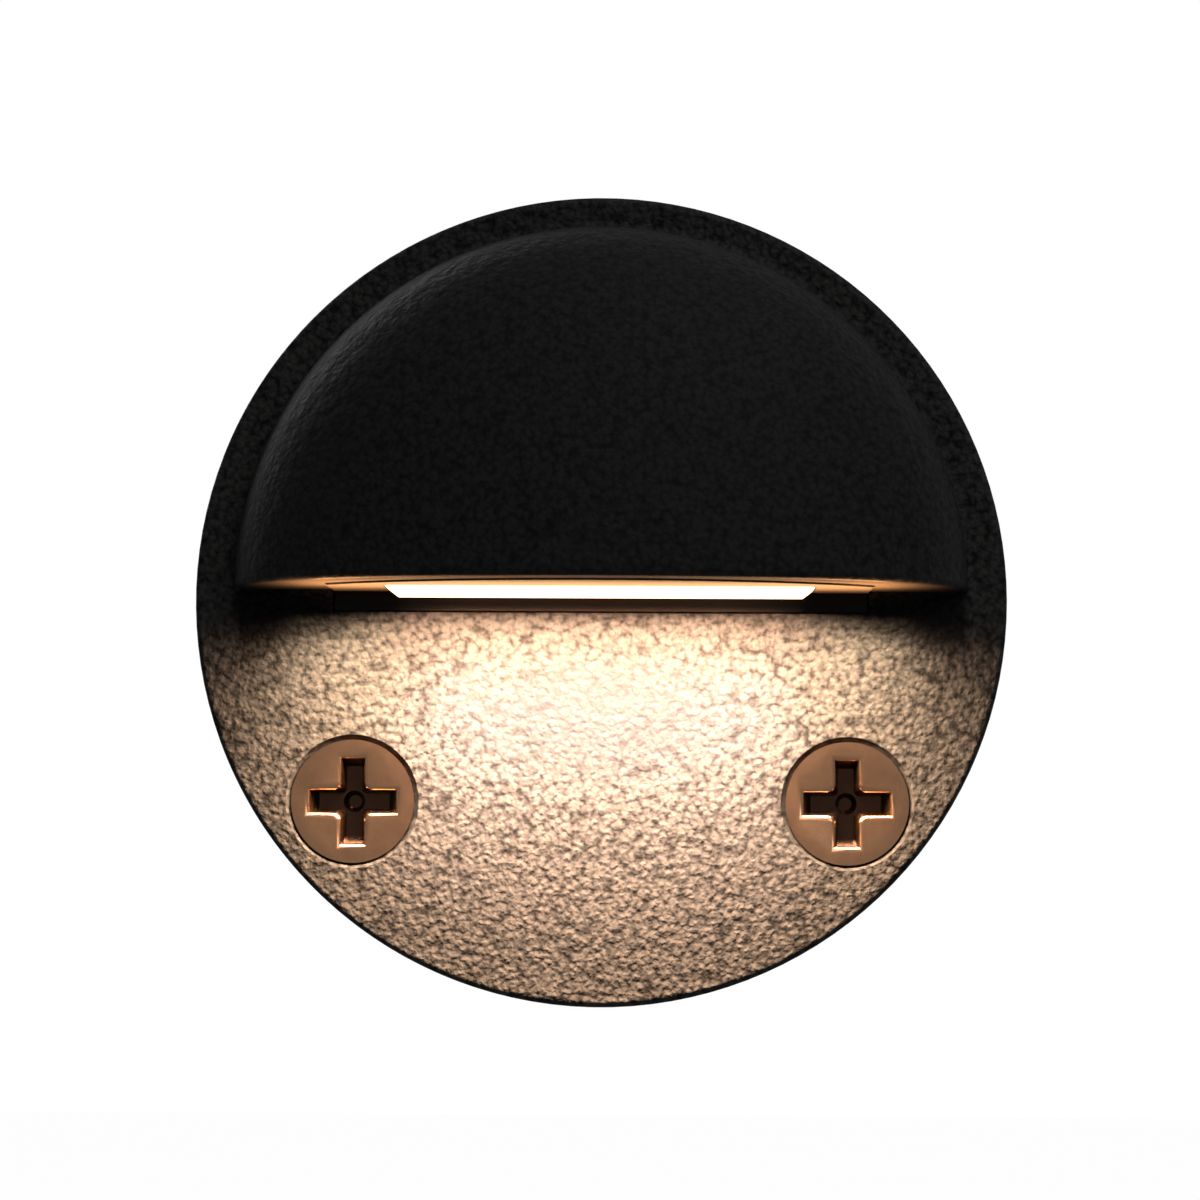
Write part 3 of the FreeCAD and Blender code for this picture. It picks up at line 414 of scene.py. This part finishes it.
def brushed(name, dark, light, along=(1.0, 0.05, 1.0), rough=(0.25, 0.4)):
    """Metal with marks drawn out along one axis."""
    t = Tree(name)
    marks = t.noise(0.08 * MM, detail=3.0, vector=t.stretch(t.coords, along))
    t.set(
        Base_Color=t.mottled(marks, dark, light),
        Metallic=1.0,
        Roughness=t.uneven(marks, *rough),
        Normal=t.bump(marks, 0.004 * MM),
    )
    return t.material


SILICONE = ((0.045, 0.045, 0.047), (0.06, 0.06, 0.062), (0.5, 0.65))
NYLON = (grey(0.018), grey(0.028))

bronze = satin_bronze()
steel = brushed("stainless", grey(0.50), (0.68, 0.68, 0.69))
finishes = {
    "housing": powder_coat(),
    "lens_frame": smooth_black(),
    "lens": frosted_lens(),
    "mounting_screw_left": bronze,
    "mounting_screw_right": bronze,
    "wall_gasket": moulded("foam", grey(0.010), grey(0.024), (0.85, 0.95), 0.35, 0.09, 0.2),
    "lens_gasket": moulded("silicone", *SILICONE),
    "cover_gasket": moulded("silicone_cord", *SILICONE),
    "reflector": moulded("white_box", (0.80, 0.80, 0.78), (0.88, 0.88, 0.86), (0.25, 0.35)),
    "led_board": moulded("white_mask", (0.74, 0.75, 0.74), (0.82, 0.83, 0.82), (0.3, 0.4)),
    "led_packages": moulded("package", (0.78, 0.77, 0.72), (0.86, 0.85, 0.80), (0.4, 0.5), 0.3),
    "led_phosphors": moulded("phosphor", (0.85, 0.60, 0.12), (0.93, 0.72, 0.20), (0.3, 0.4), 0.2),
    "thermal_pad": moulded("pad", (0.32, 0.37, 0.42), (0.42, 0.47, 0.52), (0.7, 0.8), 0.4),
    "carrier": brushed("mill_aluminium", (0.60, 0.61, 0.62), (0.74, 0.75, 0.76), (0.05, 1.0, 1.0)),
    "carrier_screws": steel,
    "standoff_screws": steel,
    "driver_screws": steel,
    "cover_screws": steel,
    "standoffs": brushed("turned_brass", (0.62, 0.46, 0.18), (0.76, 0.58, 0.26), (1.0, 1.0, 0.05)),
    "driver_board": moulded(
        "green_mask", (0.012, 0.10, 0.035), (0.02, 0.15, 0.055), (0.25, 0.35), 1.1, 0.004
    ),
    "bridge_rectifier": moulded("black_body", (0.014, 0.014, 0.015), (0.026, 0.026, 0.027), size=0.3),
    "driver_diode": moulded("diode_body", (0.016, 0.016, 0.017), (0.028, 0.028, 0.029), size=0.3),
    "driver_chip": moulded("chip_body", (0.012, 0.012, 0.013), (0.022, 0.022, 0.023), (0.4, 0.5), 0.3),
    "driver_inductor": moulded("ferrite", (0.10, 0.10, 0.105), (0.15, 0.15, 0.155), (0.6, 0.75), 0.3),
    "smoothing_capacitor": brushed("drawn_can", (0.62, 0.62, 0.64), (0.74, 0.74, 0.76), (1.0, 1.0, 0.2)),
    "chip_resistors": moulded("resistor", (0.02, 0.02, 0.022), (0.05, 0.05, 0.052), (0.4, 0.5), 0.3),
    "lead_connector": moulded("connector", (0.70, 0.68, 0.60), (0.80, 0.78, 0.71), (0.4, 0.5), 0.4),
    "led_lead_positive": moulded("lead_red", (0.42, 0.012, 0.012), (0.52, 0.02, 0.02), (0.35, 0.45), 0.3),
    "led_lead_negative": moulded("lead_black", grey(0.010), grey(0.02), (0.35, 0.45), 0.3),
    "back_cover": moulded(
        "cover_black", (0.016, 0.016, 0.017), (0.026, 0.026, 0.027), (0.5, 0.65), 0.35, 0.02, 0.4
    ),
    "gland_body": moulded("nylon", *NYLON, (0.4, 0.5), depth=0.006),
    "gland_cap": moulded("nylon_cap", *NYLON, (0.38, 0.48), depth=0.006),
    "gland_locknut": moulded("nylon_nut", *NYLON, (0.42, 0.52), depth=0.006),
    "gland_washer": moulded("washer", grey(0.014), grey(0.022), (0.7, 0.8), 0.4),
    "gland_insert": moulded("insert", grey(0.016), grey(0.024), (0.7, 0.8), 0.4),
}
for name, material in finishes.items():
    data = nodes[name].data
    data.materials.clear()
    data.materials.append(material)


# Mounting screws: the CAD heads and necks, with a smooth shank and a cut thread in place of the plain one

SHANK_RADIUS = 2.4 * MM
SHANK_START = -0.2 * MM
SHANK_END = 9.0 * MM
SHANK_CHAMFER = 0.15 * MM
SHANK_CORE = 1.2 * MM
NECK_CUT = -0.02 * MM
ROOT_RADIUS = 1.62 * MM
POINT_RADIUS = 0.12 * MM
PITCH = 1.95 * MM
TAPER = 5.5 * MM
THREAD_SIDES = 40
# Share of the pitch, and share of the way from root to crest
THREAD_PROFILE = ((0.0, 0.0), (0.34, 0.0), (0.56, 0.9), (0.60, 1.0), (0.64, 0.9), (0.86, 0.0))
RECESS_REACH = 3.7 * MM
RECESS_EASE = 0.35 * MM
WELD = 0.002 * MM
SHARP_ANGLE = math.radians(32)


def thread_point(y, end, height):
    """Distance along the axis and radius of a point on the thread, which grows in and tapers to the tip."""
    inside = min(max(y, SHANK_END), end)
    left = min(1.0, (end - inside) / TAPER)
    begin = min(1.0, (inside - SHANK_END) / (0.5 * PITCH))
    root = SHANK_RADIUS + (ROOT_RADIUS * left - SHANK_RADIUS) * begin
    crest = min(SHANK_RADIUS, POINT_RADIUS + SHANK_RADIUS * left ** 0.75)
    return inside, root + (max(crest, root) - root) * height * min(1.0, left * 6)


def thread_mesh(bm, axis, start, end):
    """A wood screw's shank, thread and point, as rings that follow the helix."""
    edge = SHANK_RADIUS - SHANK_CHAMFER
    rows = [[point] * THREAD_SIDES for point in (
        (start, SHANK_CORE), (start, edge), (start + SHANK_CHAMFER, SHANK_RADIUS)
    )]
    for turn in range(-1, int((end - SHANK_END) / PITCH) + 2):
        for place, height in THREAD_PROFILE:
            helix = (SHANK_END + PITCH * (turn + place + i / THREAD_SIDES) for i in range(THREAD_SIDES))
            rows.append([thread_point(y, end, height) for y in helix])
    grid = []
    for row in rows:
        ring = []
        for i, (y, r) in enumerate(row):
            a = 2 * math.pi * i / THREAD_SIDES
            ring.append(bm.verts.new((axis.x + r * math.cos(a), y, axis.z + r * math.sin(a))))
        grid.append(ring)
    for below, above in zip(grid, grid[1:]):
        for i in range(THREAD_SIDES):
            j = (i + 1) % THREAD_SIDES
            bm.faces.new((below[i], below[j], above[j], above[i]))
    bm.faces.new(grid[0])
    bm.faces.new(grid[-1][::-1])


def ease_recess(bm, axis):
    """Rounds the recess's rim, which the lens's light picks out."""
    bmesh.ops.remove_doubles(bm, verts=bm.verts[:], dist=WELD)
    bmesh.ops.dissolve_limit(bm, angle_limit=math.radians(1), verts=bm.verts[:], edges=bm.edges[:])
    rim = []
    for edge in bm.edges:
        ends = [v.co for v in edge.verts]
        on_face = all(abs(co.y - SCREW_FACE) < 0.01 * MM for co in ends)
        near = all(math.hypot(co.x - axis.x, co.z - axis.z) < RECESS_REACH for co in ends)
        if on_face and near and edge.calc_face_angle(0.0) > 0.5:
            rim.append(edge)
    bmesh.ops.bevel(bm, geom=rim, offset=RECESS_EASE, segments=3, profile=0.5, affect="EDGES")


def shade_smooth(mesh):
    """Smooth shading with edges kept sharp above an angle."""
    for face in mesh.polygons:
        face.use_smooth = True
    bm = bmesh.new()
    bm.from_mesh(mesh)
    for edge in bm.edges:
        edge.smooth = not (edge.is_manifold and edge.calc_face_angle(0.0) > SHARP_ANGLE)
    bm.to_mesh(mesh)
    bm.free()


def mounting_screw(node, body):
    """The fitted screw: head, eased recess and neck from its node, and a threaded shank."""
    low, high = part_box(node)
    axis = (low + high) / 2
    bm = bmesh.new()
    bm.from_mesh(nodes[node].data)
    ease_recess(bm, axis)
    cut = bmesh.ops.bisect_plane(
        bm, geom=bm.verts[:] + bm.edges[:] + bm.faces[:], plane_co=(0, NECK_CUT, 0), plane_no=(0, 1, 0),
        clear_outer=True,
    )
    edges = [e for e in cut["geom_cut"] if isinstance(e, bmesh.types.BMEdge)]
    bmesh.ops.edgenet_fill(bm, edges=edges)
    thread_mesh(bm, axis, SHANK_START, high.y)
    bmesh.ops.remove_doubles(bm, verts=bm.verts[:], dist=WELD)
    bmesh.ops.recalc_face_normals(bm, faces=bm.faces[:])
    mesh = bpy.data.meshes.new(node + "_threaded")
    bm.to_mesh(mesh)
    bm.free()
    shade_smooth(mesh)
    mesh.materials.append(bronze)
    piece = bpy.data.objects.new(node + "_threaded", mesh)
    bpy.context.collection.objects.link(piece)
    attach(piece, body)
    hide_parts(node)


mounting_screw("mounting_screw_left", "screw_left")
mounting_screw("mounting_screw_right", "screw_right")


# Floor

FLOOR_HALF = 3.0
FLOOR_HEIGHT = -0.30
FLOOR_GLOW = 1.2
FLOOR_SHARE = 0.8


def seen_plainly(tree):
    """1 for rays from the camera, a reflection or a transmission, and 0 for light."""
    path = tree.nodes.new("ShaderNodeLightPath")
    value = path.outputs["Is Camera Ray"]
    for ray in ("Is Glossy Ray", "Is Transmission Ray"):
        larger = tree.nodes.new("ShaderNodeMath")
        larger.operation = "MAXIMUM"
        tree.links.new(value, larger.inputs[0])
        tree.links.new(path.outputs[ray], larger.inputs[1])
        value = larger.outputs[0]
    return value


def floor():
    """A plain pale floor well under the light."""
    mesh = bpy.data.meshes.new("floor")
    corners = ((-1, -1), (1, -1), (1, 1), (-1, 1))
    mesh.from_pydata([(x * FLOOR_HALF, y * FLOOR_HALF, FLOOR_HEIGHT) for x, y in corners], [], [(0, 1, 2, 3)])
    piece = bpy.data.objects.new("floor", mesh)
    bpy.context.collection.objects.link(piece)
    t = Tree("pale_floor")
    t.set(Base_Color=(0.86, 0.86, 0.85, 1), Roughness=0.9, Specular_IOR_Level=0.1)
    glow = t.tree.nodes.new("ShaderNodeEmission")
    glow.inputs["Color"].default_value = (1, 1, 1, 1)
    glow.inputs["Strength"].default_value = FLOOR_GLOW
    mix = t.tree.nodes.new("ShaderNodeMixShader")
    t.put(mix.inputs[0], t.times(seen_plainly(t.tree), FLOOR_SHARE))
    t.put(mix.inputs[1], t.shader.outputs[0])
    t.put(mix.inputs[2], glow.outputs[0])
    t.put(t.out.inputs["Surface"], mix.outputs[0])
    mesh.materials.append(t.material)
    return piece


pale = floor()


# Lamps at the lens

lens_low, lens_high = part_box("lens")
LENS_GAP = 0.03
# Name, distance from the disc, reach outward and length in millimetres, tilt to the disc and spread in
# degrees, power and colour
LENS_LAMPS = (
    ("lens_light_near", 4.5, 5.6, 31.4, 10, 140, 0.105, (1.0, 0.56, 0.36)),
    ("lens_light_main", 9.6, 4.7, 29, 0, 170, 1.12, (1.0, 0.63, 0.40)),
    ("lens_light_core", 9.6, 4.7, 28, 45, 60, 0.055, (1.0, 0.82, 0.84)),
    ("lens_light_wide", 4.5, 5.6, 48, 10, 100, 0.24, (1.0, 0.73, 0.46)),
)
BOUNCE_PLACE = Vector((0, -11.0, -3.4)) * MM


def area_lamp(name, place, towards, width, height, power, colour=(1.0, 1.0, 1.0)):
    """A rectangular lamp that the camera doesn't see."""
    data = bpy.data.lights.new(name, "AREA")
    data.shape = "RECTANGLE"
    data.size = width
    data.size_y = height
    data.energy = power
    data.color = colour
    lamp = bpy.data.objects.new(name, data)
    lamp.location = place
    lamp.rotation_euler = (Vector(towards) - Vector(place)).to_track_quat("-Z", "Y").to_euler()
    lamp.visible_camera = False
    bpy.context.collection.objects.link(lamp)
    return lamp


def collection_of(name, pieces, state):
    """The pieces that a lamp falls on, or with EXCLUDE those that it misses."""
    group = bpy.data.collections.new(name)
    for piece in pieces:
        group.objects.link(piece)
    for entry in group.collection_objects:
        entry.light_linking.link_state = state
    return group


# The lens's light isn't for the studio's floor, and only the near lamp lights the lens's own frame
off_floor = collection_of("off_floor", [pale], "EXCLUDE")
off_frame = collection_of("off_frame", [pale, nodes["lens_frame"]], "EXCLUDE")
for name, gap, reach, length, tilt, spread, power, colour in LENS_LAMPS:
    tilt = math.radians(tilt)
    droop = reach / 2 * math.sin(tilt)
    window = Vector((0, DISC_FACE - gap * MM, lens_low.z - (droop + LENS_GAP) * MM))
    aim = Vector((0, math.sin(tilt), -math.cos(tilt)))
    lamp = area_lamp(name, window, window + aim, length * MM, reach * MM, power, colour)
    lamp.data.spread = math.radians(spread)
    lamp.light_linking.receiver_collection = off_floor if name == "lens_light_near" else off_frame

# Warm light that the lit disc throws back under the hood
bounce = area_lamp(
    "bounce", BOUNCE_PLACE, BOUNCE_PLACE + Vector((0, 0, 1)), 46 * MM, 5 * MM, 0.075, (1.0, 0.48, 0.20)
)
bounce.data.spread = math.radians(120)
under_hood = [nodes["lens_frame"], nodes["housing"]]
bounce.light_linking.receiver_collection = collection_of("bounce_receivers", under_hood, "INCLUDE")


# Studio

WORLD_SOFT = 0.10
WORLD_SEEN = 1.0

area_lamp("key", (0.42, -0.90, 0.48), (0, 0, 0), 0.55, 0.55, 8.0)
area_lamp("top", (0.25, -0.30, 0.85), (0, 0, 0), 0.45, 0.30, 6.0)
area_lamp("back", (-0.50, 0.85, 0.50), (0, 0, 0), 0.55, 0.55, 8.0)


def studio_world():
    """Pale surroundings: plain white to look at and in reflections, softer as light."""
    world = bpy.data.worlds.new("studio")
    bpy.context.scene.world = world
    world.use_nodes = True
    tree = world.node_tree
    tree.nodes.clear()
    mix = tree.nodes.new("ShaderNodeMixShader")
    tree.links.new(seen_plainly(tree), mix.inputs[0])
    for socket, strength in ((mix.inputs[1], WORLD_SOFT), (mix.inputs[2], WORLD_SEEN)):
        white = tree.nodes.new("ShaderNodeBackground")
        white.inputs["Color"].default_value = (1, 1, 1, 1)
        white.inputs["Strength"].default_value = strength
        tree.links.new(white.outputs[0], socket)
    out = tree.nodes.new("ShaderNodeOutputWorld")
    tree.links.new(mix.outputs[0], out.inputs["Surface"])


studio_world()

bpy.context.scene.view_settings.view_transform = "Standard"
